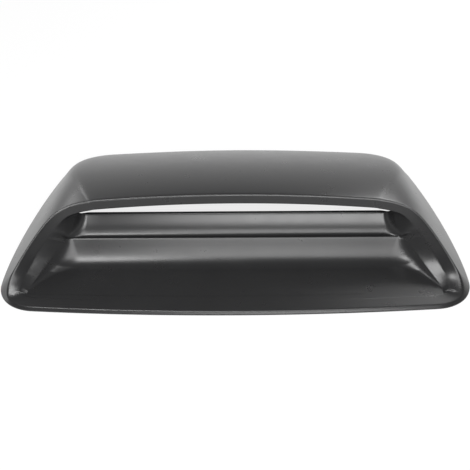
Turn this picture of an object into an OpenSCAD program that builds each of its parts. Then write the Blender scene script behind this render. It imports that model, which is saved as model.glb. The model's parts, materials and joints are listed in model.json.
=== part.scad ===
// Bonnet scoop, one moulding: a thin shell with a raked air mouth, a stepped tray in the mouth,
// and screw bosses and ribs underneath. Millimetres, +Z up, the mouth faces -Y.
// The origin is the middle of the footprint, on the face that lies on the bonnet.

/* [Footprint] */
// Widest part of the base, side to side
body_w = 664; // [620:1:720]
// Length of the base on the centre line, front edge to rear edge
body_d = 393; // [370:1:430]
// How far the front edge falls back between its middle and its corners
front_bow = 10; // [4:1:16]
// Size of the rounded front corners in plan
front_corner = 52; // [40:1:60]
// Width of the base where the side lines would meet the rear line
rear_w = 530; // [490:1:560]
// How far the rear edge bows out between its corners and its middle
rear_bow = 16; // [6:1:24]
// Size of the rounded rear corners in plan
rear_corner = 66; // [50:1:80]

/* [Outer skin] */
// Height of the mouth's upper lip above the bonnet
lip_z = 90.4; // [84:0.2:98]
// Distance of the upper lip behind the front edge
lip_y = 154; // [150:1:160]
// Height of the roof where it meets the rear edge
tail_z = 4; // [3:0.5:6]
// Share of the roof's fall that is even, the rest comes ever faster to the rear
roof_fall = 0.29; // [0.2:0.01:0.5]
// Drop of the roof between the centre line and the shoulders
roof_crown = 8; // [4:0.5:12]
// Steepness of the side walls in degrees
side_angle = 50; // [44:1:56]
// Tightness of the shoulder between roof and side, higher is sharper
shoulder = 6; // [4:0.5:9]
// Height of the upright edge round the foot
edge_h = 2; // [1:0.25:3]
// Wall thickness of the moulding
wall = 3; // [2.5:0.1:3.6]

/* [Mouth] */
// Slope of the mouth's rim, height gained for each unit to the rear
mouth_rake = 0.70; // [0.66:0.01:0.74]
// Height of the rim along the front edge
front_z = 5; // [4.5:0.25:6]
// Width of the rim band at the upper lip
lip_band = 15; // [12:0.5:18]
// Width of the rim band at the sides and the front
side_band = 18; // [15:0.5:20]
// Turn of the rim band into the mouth, in degrees
band_turn = 45; // [35:1:50]
// Radius-like size of the rounded rim between skin and band
rim_round = 3; // [1:0.5:4]

/* [Tray] */
// Distance of the crease behind the front edge, where the flat apron ends
crease_y = 86; // [80:1:92]
// Height of the apron at the crease
crease_z = 7; // [6:0.5:9]
// Distance of the first step's crest behind the front edge
crest_y = 127; // [124:1:130]
// Height of the first step's crest
crest_z = 32; // [29:0.5:34]
// Distance of the second step's crest behind the front edge
sill_y = 157; // [155:1:160]
// Height of the second step's crest
sill_z = 54; // [50:0.5:56]
// Distance of the tray's side beads from the widest part of the base, at the front
bead_front_in = 41; // [38:1:46]
// Distance of the tray's side beads from the widest part of the base, at the first crest
bead_crest_in = 84; // [82:1:90]

/* [Underside] */
// Width of the land that lies on the bonnet
foot_w = 7; // [6:0.5:9]
// Height of the screw bosses
boss_h = 20; // [16:1:21]
// Radius of the screw bosses
boss_r = 7; // [6:0.5:8]
// Radius of the pilot holes for the screws
pilot_r = 2.1; // [1.5:0.1:2.5]
// Depth of the pilot holes
pilot_h = 16; // [12:1:18]
// Distance of the front bosses behind the front edge
boss_front_y = 150; // [140:1:170]
// Distance of the front bosses from the widest part of the base
boss_front_in = 47; // [40:1:54]
// Distance of the rear bosses in front of the rear edge
boss_rear_y = 55; // [48:1:66]
// Distance of the rear bosses inside the corners where side lines and rear line would meet
boss_rear_in = 40; // [34:1:46]
// Thickness of the ribs
rib_t = 2.4; // [2:0.1:3]
// Depth of the ribs under the roof
rib_h = 9; // [6:0.5:12]
// Spacing of the ribs under the roof
rib_pitch = 90; // [70:1:110]

/* [Hidden] */
$fn = 48;

half_w = body_w / 2;
slope = tan(side_angle);
// The inner skin lies one wall below the outer one, measured straight down
skin_drop = wall / cos(side_angle);
roof_drop = 1.06 * wall;
// The roof has its full crown at the shoulders, this far inside the widest part
shoulder_in = 82;
shoulder_x = half_w - shoulder_in;

// Plan of the base, right half, from the middle of the front edge to the middle of the rear edge.
// The points along the front and the forward part of the side also carry the tray's columns and rows.
front_steps = 9;
corner_steps = 10;
tray_side_steps = 19;
side_steps = 6;
turn_steps = 8;
rear_steps = 6;
// Share of the side line whose sections carry the tray
tray_share = 0.56;
// Crowding of the points towards the front corner, and of the corner's points towards the side
front_crowd = 2.4;
corner_crowd = 1.3;
front_x = half_w - front_corner;
front_end = [front_x, front_bow];
side_start = [half_w, front_bow + front_corner];
rear_vertex = [rear_w / 2, body_d - rear_bow];
// The side keeps its full width this far behind the front corner
side_full = 110;
// The rear line leaves its corner a little steeper than its bow, and the corner takes a little less of it
rear_rise = 1.35;
rear_take = 0.92;
side_dir = unit(rear_vertex - side_start - [0, side_full]);
rear_dir = unit([-rear_vertex[0], rear_rise * rear_bow]);
turn_start = rear_vertex - rear_corner * side_dir;
turn_end = rear_vertex + rear_take * rear_corner * rear_dir;
// Lengths of the curves' handles
corner_pull = 0.56 * front_corner;
side_pull_front = 60;
side_pull_rear = 90;
turn_pull_side = 0.6 * rear_corner;
turn_pull_rear = 0.55 * rear_corner;
rear_pull = 68;

function bow_at(x) = front_bow * pow(x / front_x, 2);
function front_point(t) = let (x = front_x * (1 - pow(1 - t, front_crowd))) [x, bow_at(x)];
function corner_point(t) = bezier(front_end, front_end + corner_pull * unit([front_x, 2 * front_bow]),
    side_start - [0, corner_pull], side_start, 1 - pow(1 - t, corner_crowd));
function side_point(t) = bezier(side_start, side_start + [0, side_pull_front],
    turn_start - side_pull_rear * side_dir, turn_start, t);
function turn_point(t) = bezier(turn_start, turn_start + turn_pull_side * side_dir,
    turn_end - turn_pull_rear * rear_dir, turn_end, t);
function rear_point(t) = bezier(turn_end, turn_end + rear_pull * rear_dir,
    [rear_pull, body_d], [0, body_d], t);

right_half = concat(
    [for (k = [0 : front_steps - 1]) front_point(k / front_steps)],
    [for (k = [0 : corner_steps - 1]) corner_point(k / corner_steps)],
    [for (k = [0 : tray_side_steps - 1]) side_point(tray_share * k / tray_side_steps)],
    [for (k = [0 : side_steps - 1]) side_point(mix(tray_share, 1, k / side_steps))],
    [for (k = [0 : turn_steps - 1]) turn_point(k / turn_steps)],
    [for (k = [0 : rear_steps]) rear_point(k / rear_steps)]
);
last = len(right_half) - 1;
outline = concat(right_half, [for (k = [last - 1 : -1 : 1]) [-right_half[k][0], right_half[k][1]]]);
count = len(outline);
normals = [for (i = [0 : count - 1])
    let (t = outline[(i + 1) % count] - outline[(i + count - 1) % count]) unit([t[1], -t[0]])];

function unit(v) = v / norm(v);
function mix(a, b, t) = a + (b - a) * t;
function clamp(v, low, high) = max(low, min(high, v));
function ease(t) = let (c = clamp(t, 0, 1)) c * c * (3 - 2 * c);
function bezier(a, b, c, d, t) = let (s = 1 - t)
    s * s * s * a + 3 * s * s * t * b + 3 * s * t * t * c + t * t * t * d;
// The lower of two heights, rounded where they meet
function soft_min(a, b) = pow(pow(a, -shoulder) + pow(b, -shoulder), -1 / shoulder);

// Height of the roof over a plan point, before the sides cut it
function roof(p) =
    let (s = (p[1] - lip_y) / (body_d - lip_y), fall = roof_fall * s + (1 - roof_fall) * pow(max(s, 0), 2))
    max(1, lip_z - (lip_z - tail_z) * fall - roof_crown * pow(p[0] / shoulder_x, 2));
// Height of the outer skin over a plan point that lies d inside the foot
function skin(p, d) = soft_min(roof(p), edge_h + slope * max(d, 0));
function skin_inside(p, d) = soft_min(max(1, roof(p) - roof_drop), max(1, edge_h + slope * d - skin_drop));
// How far a plan point lies inside the base outline
function inset(p) = min([for (i = [0 : count - 1]) (outline[i] - p) * normals[i]]);

// Height of the mouth's rim, level along the front and raked up to the lip, rounded between the two
rim_blend = 5.5;
function raked_z(y) = lip_z + mouth_rake * (y - lip_y);
function rim_gap(y) = norm([front_z - raked_z(y), rim_blend]);
function rim_z(y) = (front_z + raked_z(y) + rim_gap(y)) / 2;
function rim_slope(y) = mouth_rake * (1 + (raked_z(y) - front_z) / rim_gap(y)) / 2;

// Each section of the shell runs from a point of the outline towards a spine across the mouth
spine_y = 100;
spine_in = 142;
spine_x = half_w - spine_in;
spine_share = 0.85;
function spine_point(i) = [clamp(spine_share * outline[i][0], -spine_x, spine_x), spine_y];
function heading(i) = unit(spine_point(i) - outline[i]);
function along(i, s) = outline[i] + s * heading(i);
function depth(i, s) = -s * (heading(i) * normals[i]);
function at_depth(i, d) = -d / (heading(i) * normals[i]);
function section_skin(i, s) = skin(along(i, s), depth(i, s));
// Halving search for the place where the skin reaches the rim's height
function find_rim(i, low, high, n = 18) =
    let (s = (low + high) / 2)
    n == 0 ? s
    : section_skin(i, s) < rim_z(along(i, s)[1]) ? find_rim(i, s, high, n - 1)
    : find_rim(i, low, s, n - 1);
rim_s = [for (i = [0 : count - 1]) find_rim(i, 0, norm(spine_point(i) - outline[i]))];
rim = [for (i = [0 : count - 1]) let (p = along(i, rim_s[i])) [p[0], p[1], rim_z(p[1])]];

// The band turns from the rim into the mouth: its direction, its face and its inner edge.
// The turn grows over a height above the front, and the band narrows above another one.
band_rise = 40;
narrow_z = 50;
function rim_normal(i) = unit([0, -rim_slope(rim[i][1]), 1]);
function rim_inward(i) = unit(cross(rim_normal(i), rim[(i + 1) % count] - rim[(i + count - 1) % count]));
function band_angle(i) = band_turn * ease((rim[i][2] - front_z) / band_rise);
function band_width(i) = mix(side_band, lip_band, ease((rim[i][2] - narrow_z) / (lip_z - narrow_z)));
band_dir = [for (i = [0 : count - 1]) let (a = band_angle(i))
    cos(a) * rim_inward(i) - sin(a) * rim_normal(i)];
band_face = [for (i = [0 : count - 1]) let (a = band_angle(i))
    cos(a) * rim_normal(i) + sin(a) * rim_inward(i)];
band_end = [for (i = [0 : count - 1]) rim[i] + band_width(i) * band_dir[i]];

// Direction of the skin's own face at the rim, from its rise over a small step
function skin_face(i) =
    let (s = rim_s[i], e = min(s, 0.5), h = heading(i),
        rise = (section_skin(i, s) - section_skin(i, s - e)) / e)
    unit([-rise * h[0], -rise * h[1], 1]);
function skin_point(i, s) = let (p = along(i, s)) [p[0], p[1], section_skin(i, s)];
// The inner corner under the rim stays clear of the foot
foot_clear = 1.5;
function inner_rim(i) =
    let (n = skin_face(i), m = band_face[i], q = rim[i] - wall * (n + m) / (1 + n * m),
        s = ([q[0], q[1]] - outline[i]) * heading(i), least = at_depth(i, foot_w + foot_clear),
        p = along(i, least))
    s < least ? [p[0], p[1], q[2]] : q;

outer_rows = 9;
inner_rows = 6;
// The rounded rim takes at most this share of the skin, and its middle point lies this far in
rim_take = 0.35;
rim_middle = 0.3;
// One section of the shell, a closed ring of points
function section(i) =
    let (b = outline[i], r = min(rim_round, rim_take * rim_s[i]), top = rim_s[i] - r,
        inside = inner_rim(i), foot = along(i, at_depth(i, foot_w)),
        foot_s = norm(foot - b), inside_s = norm([inside[0], inside[1]] - b),
        corner = -unit(skin_face(i) + band_face[i]))
    concat(
        [[b[0], b[1], 0]],
        [for (k = [0 : outer_rows - 1]) skin_point(i, top * k / (outer_rows - 1))],
        [rim[i] + rim_middle * r * corner, rim[i] + r * band_dir[i]],
        [band_end[i], band_end[i] - wall * band_face[i]],
        [inside],
        [for (k = [inner_rows : -1 : 0])
            let (s = mix(foot_s, inside_s, k / (inner_rows + 1)), p = along(i, s))
            [p[0], p[1], min(inside[2], skin_inside(p, depth(i, s)))]],
        [[foot[0], foot[1], 0]]
    );

// The tray's profile on the centre line, as heights over the distance behind the front edge.
// Its apron has a row for each section of the front corner and the next ones.
ramp_steps = 5;
apron_rows = corner_steps + 2;
// Curve handles of the first ramp at the hollow, which rises a little, and at the crest
hollow_pull = [15, 0.6];
crest_pull = [19, 19];
// Curve handles of the second ramp, which starts on a ledge behind the first crest
ledge = [6, -4];
ledge_pull = [8, 0.5];
sill_pull = [7, 13];
// Rounding of the crests, and the width of their flats
crest_round = 1;
crest_flat = 2.5;
crest_back = [1.7, -2.4];
sill_flat = 3.5;
function unbow(p) = let (b = bow_at(p[0])) (p[1] - b) / (1 - b / crease_y);
apron_start = band_end[0];
apron = [for (k = [1 : apron_rows]) let (y = unbow(band_end[front_steps + k]))
    [y, mix(apron_start[2], crease_z, (y - apron_start[1]) / (crease_y - apron_start[1]))]];
crease_point = [crease_y, crease_z];
crest_point = [crest_y, crest_z];
sill_point = [sill_y, sill_z];
crest_start = crest_point - crest_round * [1, 1];
sill_start = sill_point - crest_round * [1, 1];
ramp_1 = [for (k = [0 : ramp_steps])
    bezier(crease_point, crease_point + hollow_pull, crest_point - crest_pull, crest_start, k / ramp_steps)];
crest = [crest_point, crest_point + [crest_flat, 0], crest_point + [crest_flat, 0] + crest_back];
ledge_point = crest_point + ledge;
ramp_2 = [for (k = [0 : ramp_steps])
    bezier(ledge_point, ledge_point + ledge_pull, sill_start - sill_pull, sill_start, k / ramp_steps)];
sill_edge = sill_point + [crest_round / 2, 0];
sill = [sill_edge, sill_edge + [sill_flat, 0]];
tray_line = concat(apron, ramp_1, crest, ramp_2, sill);
rows = len(tray_line);
// The last section that carries the tray, at the corner of the lip
tray_end = front_steps + rows;

// The bead is the line where the tray's floor turns up into its side wall. It rises in front of the
// crest, and behind it stands over the floor by more and more as it closes in under the lip.
bead_front_y = 40;
bead_front_z = front_z + 0.6;
bead_narrowing = 0.6;
bead_over_crest = 5;
bead_over_sill = 11;
function bead_share(y) = clamp((y - bead_front_y) / (crest_y - bead_front_y), 0, 1);
function past_crest(y) = max(0, y - crest_y);
function bead_in(y) = mix(bead_front_in, bead_crest_in, bead_share(y)) + bead_narrowing * past_crest(y);
function bead_over(y) = mix(bead_over_crest, bead_over_sill, min(1, past_crest(y) / (sill_y - crest_y)));
function bead_z(y, z, y_floor) =
    y < crest_y ? mix(bead_front_z, crest_z, bead_share(y)) : max(crest_z, z + bead_over(y_floor));
// The bead stays this far inside the side band, below it, and above the floor
bead_clear = 2.5;
bead_under = 1;
bead_least = 0.1;
// Width of the hollow corner between the tray's floor and the bead
corner_w = [[20, 3], [crease_y - 26, 7], [crease_y - 6, 18], [crease_y + 6, 40], [crease_y + 22, 32],
    [crest_y, 12], [crest_y + 12, 22], [sill_y, 14]];
bead_steps = 4;
bead_turn = 80;
// The back of the hollow turns a little less than its face, and both swing this far towards the side
back_share = 0.8;
bead_swing = 0.5;
floor_fractions = [0, 0.4, 0.7, 0.9, 1];
steepest = 62;

// Half of one tray row, from the centre line to the last point before the side: each visible point and
// the step to the point one wall behind it
function tray_half(k) =
    let (y0 = tray_line[k - 1][0], z0 = tray_line[k - 1][1], side = band_end[front_steps + k],
        travel = tray_line[min(k, rows - 1)] - tray_line[max(k - 2, 0)],
        t = wall / cos(min(steepest, atan2(abs(travel[1]), travel[0]))),
        bow = max(0, 1 - y0 / crease_y),
        x_bead = min(half_w - bead_in(y0), side[0] - bead_clear), width = lookup(y0, corner_w),
        x_floor = x_bead - width, y_bead = y0 + bow * bow_at(x_bead), low = z0 + bead_least,
        z_bead = clamp(bead_z(y_bead, z0, y0), low, max(low, side[2] - bead_under)),
        back_turn = back_share * bead_turn * clamp((z_bead - z0) / (2 * wall), 0, 1))
    concat(
        [for (f = floor_fractions) let (x = f * x_floor) [[x, y0 + bow * bow_at(x), z0], [0, 0, -t]]],
        [for (n = [1 : bead_steps]) let (u = n / bead_steps, a = bead_turn * u, b = back_turn * u,
            x = x_floor + width * sin(a) / sin(bead_turn),
            y = mix(y0 + bow * bow_at(x), side[1], bead_swing * ease(u)))
            [[x, y, z0 + (z_bead - z0) * (1 - cos(a)) / (1 - cos(bead_turn))],
                [wall * sin(b), 0, -mix(t, wall, u) * cos(b)]]]
    );
function flip(p) = [-p[0], p[1], p[2]];
tray_halves = [for (k = [1 : rows]) tray_half(k)];

// The whole skin is one grid: rings round the wall for every section, and between the rings' band ends
// the upper and the lower face of the tray, row by row
ring_size = len(section(0));
band_row = outer_rows + 3;
columns = 2 * front_steps - 1;
function ring_at(i, j) = ((i + count) % count) * ring_size + j % ring_size;
// The point of the tray's upper (face 0) or lower (face 1) side in a row and a column from the centre
function tray_at(face, k, c) =
    k == 0 ? ring_at(c, band_row + face)
    : abs(c) == front_steps ? ring_at(sign(c) * (front_steps + k), band_row + face)
    : (count * ring_size) + (face * rows + k - 1) * columns + c + front_steps - 1;

// Two triangles for four corners, split the other way on the left, so that both halves are alike
function quad(a, b, c, d, left = false) = left ? [[b, c, d], [b, d, a]] : [[a, b, c], [a, c, d]];
ring_faces = [for (i = [0 : count - 1], j = [0 : ring_size - 1])
    if (j != band_row || (i >= tray_end && i < count - tray_end))
        let (left = i >= count / 2)
            each quad(ring_at(i, j), ring_at(i, j + 1), ring_at(i + 1, j + 1), ring_at(i + 1, j), left)];
tray_faces = [for (k = [0 : rows - 1], c = [-front_steps : front_steps - 1]) let (l = k + 1, r = c + 1)
    each concat(
        quad(tray_at(0, k, c), tray_at(0, l, c), tray_at(0, l, r), tray_at(0, k, r), c < 0),
        quad(tray_at(1, k, c), tray_at(1, k, r), tray_at(1, l, r), tray_at(1, l, c), c < 0))];
sill_faces = [for (c = [-front_steps : front_steps - 1])
    each quad(tray_at(0, rows, c + 1), tray_at(0, rows, c), tray_at(1, rows, c), tray_at(1, rows, c + 1))];

function tray_point(face, k, c) =
    let (q = tray_halves[k - 1][abs(c)], p = q[0] + face * q[1]) c < 0 ? flip(p) : p;

module shell() {
    ring_points = [for (i = [0 : count - 1]) each section(i)];
    tray_points = [for (face = [0, 1], k = [1 : rows], c = [1 - front_steps : front_steps - 1])
        tray_point(face, k, c)];
    polyhedron(concat(ring_points, tray_points), concat(ring_faces, tray_faces, sill_faces), convexity = 8);
}

// Height of the middle of the wall over a plan point
function mid_wall(p) = let (d = inset(p)) (skin(p, d) + skin_inside(p, d)) / 2;

// An upright web between two plan points, its upper edge inside the wall above it
web_steps = 6;
module web(a, b, low, high) {
    length = norm(b - a);
    top = [for (k = [0 : web_steps]) let (p = mix(a, b, k / web_steps))
        [length * k / web_steps, min(high, mid_wall(p))]];
    translate([a[0], a[1], 0])
        rotate([90, 0, atan2(b[1] - a[1], b[0] - a[0])])
            translate([0, 0, -rib_t / 2])
                linear_extrude(rib_t)
                    polygon(concat([[0, low], [length, low]], [for (k = [web_steps : -1 : 0]) top[k]]));
}

// A screw boss with the web that ties it to the side wall. The web ends over the land, stands a little
// clear of the bonnet and rises a little above the boss.
web_over_land = 0.6;
web_clear = 1;
web_over_boss = 4;
rear_web_turn = 0.6;
module boss_at(p, towards) {
    foot = p + towards * (inset(p) - web_over_land * foot_w) / (towards * normal_near(p));
    translate([p[0], p[1], 0]) cylinder(r = boss_r, h = boss_h);
    web(p, foot, web_clear, boss_h + web_over_boss);
}
function normal_near(p) =
    let (d = [for (i = [0 : count - 1]) (outline[i] - p) * normals[i]], best = min(d))
    [for (i = [0 : count - 1]) if (d[i] == best) normals[i]][0];
boss_front = [half_w - boss_front_in, boss_front_y];
boss_rear = [rear_w / 2 - boss_rear_in, body_d - boss_rear_y];
function side_of(p, side) = [side * p[0], p[1]];

module screw_bosses() {
    for (side = [-1, 1]) {
        boss_at(side_of(boss_front, side), [side, 0]);
        boss_at(side_of(boss_rear, side), unit([side, rear_web_turn]));
    }
}

module pilot_holes() {
    for (side = [-1, 1], p = [boss_front, boss_rear])
        translate([side * p[0], p[1], -1]) cylinder(r = pilot_r, h = pilot_h + 1);
}

// Ribs under the roof, from behind the lip to the rear slope, running out over a quarter at each end
rib_start = 30;
rib_stop = 75;
rib_steps = 8;
rib_fade = 4;
module roof_ribs() {
    for (n = [-1, 0, 1]) {
        x = n * rib_pitch;
        top = [for (k = [0 : rib_steps]) let (y = mix(lip_y + rib_start, body_d - rib_stop, k / rib_steps))
            [y, mid_wall([x, y])]];
        hang = [for (k = [0 : rib_steps]) let (near_end = min(k, rib_steps - k))
            wall / 2 + rib_h * min(1, rib_fade * near_end / rib_steps)];
        translate([x - rib_t / 2, 0, 0])
            rotate([90, 0, 90])
                linear_extrude(rib_t)
                    polygon(concat(top, [for (k = [rib_steps : -1 : 0]) top[k] - [0, hang[k]]]));
    }
}

module scoop_moulding() {
    color([0.09, 0.09, 0.095])
    translate([0, -body_d / 2, 0])
    difference() {
        union() {
            shell();
            screw_bosses();
            roof_ribs();
        }
        pilot_holes();
    }
}

scoop_moulding();
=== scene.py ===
"""Bonnet scoop: one satin black moulding with a raked air mouth and a stepped tray, on a plain stage.

The form is worked out from the sizes in the property groups below, as a fine smooth skin that stands
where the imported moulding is. Lengths are in metres, +Z is up, and the mouth faces -Y. While the form is
worked out, y is the distance behind the front edge, and at the end the origin is set to the middle.
"""

import json
import math

import bpy
import numpy as np
from mathutils import Euler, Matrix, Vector


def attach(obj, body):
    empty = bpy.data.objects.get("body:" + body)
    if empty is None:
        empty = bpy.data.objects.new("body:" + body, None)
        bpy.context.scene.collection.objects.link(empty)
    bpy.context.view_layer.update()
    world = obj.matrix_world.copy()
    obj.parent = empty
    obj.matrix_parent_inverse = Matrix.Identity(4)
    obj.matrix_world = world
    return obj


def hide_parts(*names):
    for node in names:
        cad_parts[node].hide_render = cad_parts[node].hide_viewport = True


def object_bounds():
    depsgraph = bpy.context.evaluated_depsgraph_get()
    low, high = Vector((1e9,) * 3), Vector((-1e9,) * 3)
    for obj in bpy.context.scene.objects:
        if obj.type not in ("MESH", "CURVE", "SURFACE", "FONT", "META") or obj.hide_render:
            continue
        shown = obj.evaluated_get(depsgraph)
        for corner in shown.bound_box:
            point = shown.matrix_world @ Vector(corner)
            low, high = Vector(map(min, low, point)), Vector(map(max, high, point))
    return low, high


bl_info = {
    "name": "Bonnet scoop",
    "version": (1, 0, 0),
    "blender": (4, 5, 0),
    "location": "View3D > Sidebar > Scoop",
    "description": "Builds a moulded bonnet scoop with a stepped air mouth",
    "category": "Add Mesh",
}

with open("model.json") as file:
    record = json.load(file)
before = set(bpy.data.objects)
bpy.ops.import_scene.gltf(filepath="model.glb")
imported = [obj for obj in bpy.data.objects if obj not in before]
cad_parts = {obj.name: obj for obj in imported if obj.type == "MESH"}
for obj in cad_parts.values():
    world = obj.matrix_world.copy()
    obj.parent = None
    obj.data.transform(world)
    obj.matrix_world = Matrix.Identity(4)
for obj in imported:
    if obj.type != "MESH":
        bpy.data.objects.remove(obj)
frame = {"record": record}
cad_low, cad_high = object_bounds()
MM = 0.001
MOUNTS = {m["name"]: m for m in frame["record"]["mounts"]}
# Faces that meet at more than this angle keep a sharp edge, on the skin and on the parts under it
SKIN_SHARP = math.radians(58)
PLATE_SHARP = math.radians(40)
# The drill for a pilot hole starts below the foot by this share of the hole's depth
DRILL_START = 0.2


def length(name, text, value):
    """A property for a length, given in millimetres and kept in metres."""
    return bpy.props.FloatProperty(
        name=name, description=text, default=value * MM, unit="LENGTH", precision=4, step=0.1
    )


def factor(name, text, value):
    """A property for a plain share between 0 and 1."""
    return bpy.props.FloatProperty(
        name=name, description=text, default=value, min=0, max=1, subtype="FACTOR"
    )


def angle(name, text, value):
    """A property for an angle, given in degrees and kept in radians."""
    return bpy.props.FloatProperty(
        name=name, description=text, default=math.radians(value), subtype="ANGLE"
    )


def level(name, text, value):
    """A property for a brightness, where 1 is white."""
    return bpy.props.FloatProperty(name=name, description=text, default=value, min=0)


def colour(name, text, value):
    """A property for a colour."""
    return bpy.props.FloatVectorProperty(
        name=name, description=text, default=value, size=3, min=0, max=1, subtype="COLOR"
    )


class FootprintSizes(bpy.types.PropertyGroup):
    """Plan of the base."""

    body_w: length("Width", "Widest part of the base", (cad_high.x - cad_low.x) / MM)
    body_d: length("Length", "Front edge to rear edge", (cad_high.y - cad_low.y) / MM)
    front_bow: length("Front bow", "Fall of the front edge from its middle to its corners", 10)
    front_corner: length("Front corner", "Size of the rounded front corners", 52)
    rear_w: length("Rear width", "Width where the side lines would meet the rear line", 530)
    rear_bow: length("Rear bow", "Bow of the rear edge between its corners and its middle", 16)
    rear_corner: length("Rear corner", "Size of the rounded rear corners", 66)


class SkinSizes(bpy.types.PropertyGroup):
    """Roof, side walls and wall thickness."""

    lip_z: length("Lip height", "Height of the mouth's upper lip", 90.4)
    lip_y: length("Lip distance", "Distance of the upper lip behind the front edge", 154)
    tail_z: length("Tail height", "Height of the roof at the rear edge", 4)
    roof_fall: factor("Even fall", "Share of the roof's fall that is even", 0.29)
    roof_crown: length("Crown", "Drop of the roof between the centre line and the shoulders", 8)
    side_angle: angle("Side angle", "Steepness of the side walls", 50)
    shoulder: bpy.props.FloatProperty(
        name="Shoulder", description="Tightness of the shoulder between roof and side", default=6
    )
    edge_h: length("Edge", "Height of the upright edge round the foot", 2)
    wall: length("Wall", "Thickness of the moulding", 3)
    foot_w: length("Land", "Width of the land that lies on the bonnet", 7)


class MouthSizes(bpy.types.PropertyGroup):
    """Rim band and stepped tray."""

    rake: bpy.props.FloatProperty(
        name="Rake", description="Height that the rim gains for each unit to the rear", default=0.70
    )
    front_z: length("Front height", "Height of the rim along the front edge", 5)
    lip_band: length("Lip band", "Width of the rim band at the upper lip", 15)
    side_band: length("Side band", "Width of the rim band at the sides", 18)
    band_turn: angle("Band turn", "Turn of the band into the mouth", 45)
    rim_round: length("Rim rounding", "Rounded edge between skin and band", 3)
    lip_round: length("Lip rounding", "Rounded inner edge of the band", 1)
    crease_y: length("Crease distance", "Distance of the crease behind the front edge", 86)
    crease_z: length("Crease height", "Height of the apron at the crease", 7)
    crest_y: length("Crest distance", "Distance of the first step's crest", 127)
    crest_z: length("Crest height", "Height of the first step's crest", 32)
    sill_y: length("Sill distance", "Distance of the second step's crest", 157)
    sill_z: length("Sill height", "Height of the second step's crest", 54)
    bead_front_in: length("Front bead", "Distance of the bead from the widest part, in front", 41)
    bead_crest_in: length("Crest bead", "Distance of the bead from the widest part, at the crest", 84)
    bead_round: length("Bead rounding", "Rounded edge of the side bead", 1.4)


class UndersideSizes(bpy.types.PropertyGroup):
    """Screw bosses and ribs, which hang under the skin."""

    boss_h: length("Boss height", "Height of the screw bosses", 20)
    boss_r: length("Boss radius", "Radius of the screw bosses", 7)
    pilot_h: length("Pilot depth", "Depth of the pilot holes", 16)
    rib_t: length("Rib thickness", "Thickness of ribs and webs", 2.4)
    rib_h: length("Rib depth", "Depth of the ribs under the roof", 9)
    rib_pitch: length("Rib spacing", "Spacing of the ribs under the roof", 90)
    rib_start: length("Rib start", "Distance of the ribs behind the lip", 30)
    rib_stop: length("Rib stop", "Distance of the ribs from the rear edge", 75)


class FinishSettings(bpy.types.PropertyGroup):
    """Satin black plastic."""

    base: colour("Base", "Colour of the plastic", (0.0125, 0.0125, 0.013))
    bloom: colour("Bloom", "Colour where the skin is slightly cloudy", (0.018, 0.018, 0.0185))
    glossiest: factor("Glossiest", "Roughness of the glossiest patches", 0.25)
    dullest: factor("Dullest", "Roughness of the dullest patches", 0.32)
    grain: length("Grain", "Size of the moulded grain", 0.9)
    grain_depth: length("Grain depth", "Depth of the moulded grain", 0.006)


class StageSettings(bpy.types.PropertyGroup):
    """Camera, lamps and floor."""

    distance: bpy.props.FloatProperty(
        name="Distance", description="Camera distance", default=1.342, unit="LENGTH"
    )
    azimuth: angle("Azimuth", "Camera direction, from the front towards the right", 0.66)
    elevation: angle("Elevation", "Camera height angle", 39.32)
    roll: angle("Roll", "Camera roll", -0.79)
    focal_px: bpy.props.FloatProperty(
        name="Focal length", description="Focal length in pixels of the frame", default=870.5
    )
    frame_px: bpy.props.FloatProperty(
        name="Frame", description="Width and height of the picture in pixels", default=470
    )
    aim_px: bpy.props.FloatVectorProperty(
        name="Aim", description="Pixel at which the origin is seen", default=(235.0, 224.3), size=2
    )
    floor_w: length("Floor", "Width of the floor", 12000)
    floor_glow: factor("Floor glow", "Share of the floor's white that needs no light", 0.82)
    horizon_level: level("Horizon", "Brightness of the studio low down behind the object", 0.82)
    dim_level: level("Dim part", "Brightness of the studio overhead", 0.18)
    front_share: factor("Front share", "Share of the horizon's brightness that the front has", 0.12)
    front_lamp: level("Front lamp", "Brightness of the lamp below the camera's height", 12.0)
    upper_lamp: level("Upper lamp", "Brightness of the lamp above the camera", 6.0)
    left_lamp: level("Left lamp", "Brightness of the low lamp at the left", 2.0)
    band_lamp: level("Band lamp", "Brightness of the small lamp that the right rim band mirrors", 17.0)
    rear_left_lamp: level("Rear left lamp", "Brightness of the lamp behind on the left", 2.5)
    rear_right_lamp: level("Rear right lamp", "Brightness of the lamp behind on the right", 8.0)


def unit(v):
    """Vectors of length 1 along the last axis."""
    return v / np.linalg.norm(v, axis=-1, keepdims=True)


def dot(a, b):
    """Products along the last axis."""
    return np.sum(a * b, axis=-1)


def mix(a, b, t):
    """A value between a and b."""
    return a + (b - a) * t


def ease(t):
    """A step from 0 to 1 with flat ends."""
    t = np.clip(t, 0, 1)
    return t * t * (3 - 2 * t)


def bezier(a, b, c, d, t):
    """Points of a cubic curve."""
    a, b, c, d = (np.asarray(p, float) for p in (a, b, c, d))
    t = np.asarray(t, float)[..., None]
    s = 1 - t
    return s**3 * a + 3 * s**2 * t * b + 3 * s * t**2 * c + t**3 * d


def fillet(a, corner, b, steps):
    """Points of a rounded corner between a and b, one array for each step."""
    return [
        (1 - t) ** 2 * a + 2 * (1 - t) * t * corner + t**2 * b for t in np.linspace(0, 1, steps + 1)
    ]


def tangents(p):
    """Directions along a closed line with uneven spacing."""
    back = p - np.roll(p, 1, axis=0)
    ahead = np.roll(p, -1, axis=0) - p
    back_length = np.linalg.norm(back, axis=1, keepdims=True)
    ahead_length = np.linalg.norm(ahead, axis=1, keepdims=True)
    return unit(back / back_length * ahead_length + ahead / ahead_length * back_length)


def softened(values, low, high, passes):
    """A list of values with its stretch from low to high smoothed."""
    values = values.copy()
    for _ in range(passes):
        inner = values[low:high]
        values[low:high] = (values[low - 1 : high - 1] + 2 * inner + values[low + 1 : high + 1]) / 4
    return values


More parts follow.
